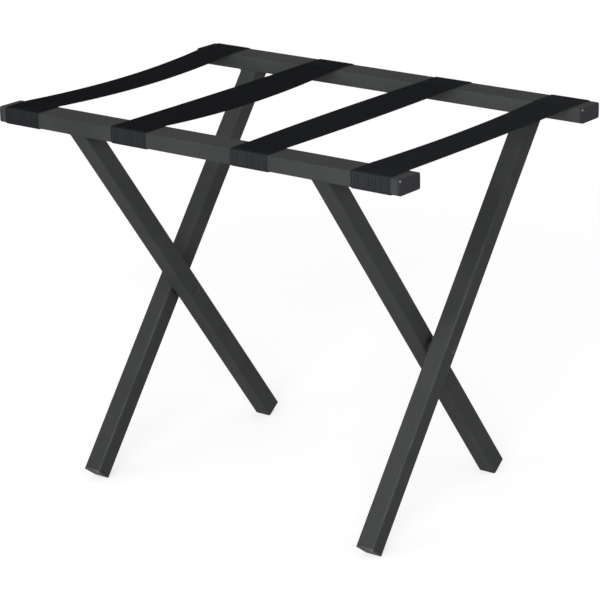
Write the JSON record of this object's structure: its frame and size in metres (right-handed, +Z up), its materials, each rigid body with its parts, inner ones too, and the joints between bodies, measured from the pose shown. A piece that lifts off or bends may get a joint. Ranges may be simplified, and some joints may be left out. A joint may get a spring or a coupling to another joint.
{
  "type": "folding luggage rack",
  "caption": "Folding luggage rack: crossed frames of black steel tube that hinge on rivets, with webbing straps over the top rails to carry a suitcase.",
  "frame": {"origin": "on the floor below the middle of the open rack", "axes": "+X along the rails, +Y from the inner frame's rail to the outer frame's rail, +Z up"},
  "size_m": [0.612, 0.4326, 0.5013],
  "materials": {
    "frame_steel": "black powder coat, satin with a fine texture",
    "cap_plastic": "moulded black polyethylene, satin",
    "foot_plastic": "moulded dark grey polyethylene, scuffed",
    "rivet_steel": "blackened steel",
    "bush_steel": "bright turned steel",
    "spacer_nylon": "black nylon, matt",
    "webbing": "black woven polypropylene webbing"
  },
  "bodies": {
    "outer_frame": {"outer_rail": "frame_steel", "outer_leg_left": "frame_steel", "outer_leg_right": "frame_steel", "outer_rail_cap_left": "cap_plastic", "outer_rail_cap_right": "cap_plastic", "outer_foot_left": "foot_plastic", "outer_foot_right": "foot_plastic", "outer_bushes": "bush_steel", "pivot_rivet_left": "rivet_steel", "pivot_rivet_right": "rivet_steel", "pivot_spacer_left": "spacer_nylon", "pivot_spacer_right": "spacer_nylon", "strap_1": "webbing", "strap_2": "webbing", "strap_3": "webbing", "strap_4": "webbing"},
    "inner_frame": {"inner_rail": "frame_steel", "inner_leg_left": "frame_steel", "inner_leg_right": "frame_steel", "inner_rail_cap_left": "cap_plastic", "inner_rail_cap_right": "cap_plastic", "inner_foot_left": "foot_plastic", "inner_foot_right": "foot_plastic", "inner_bushes": "bush_steel"}
  },
  "joints": [
    {"name": "fold", "type": "hinge", "parent": "outer_frame", "child": "inner_frame", "pos_m": [0, 0, 0.22257], "axis": [-1, 0, 0], "range_deg": [0, 62], "deforming": ["strap_1", "strap_2", "strap_3", "strap_4"]}
  ]
}
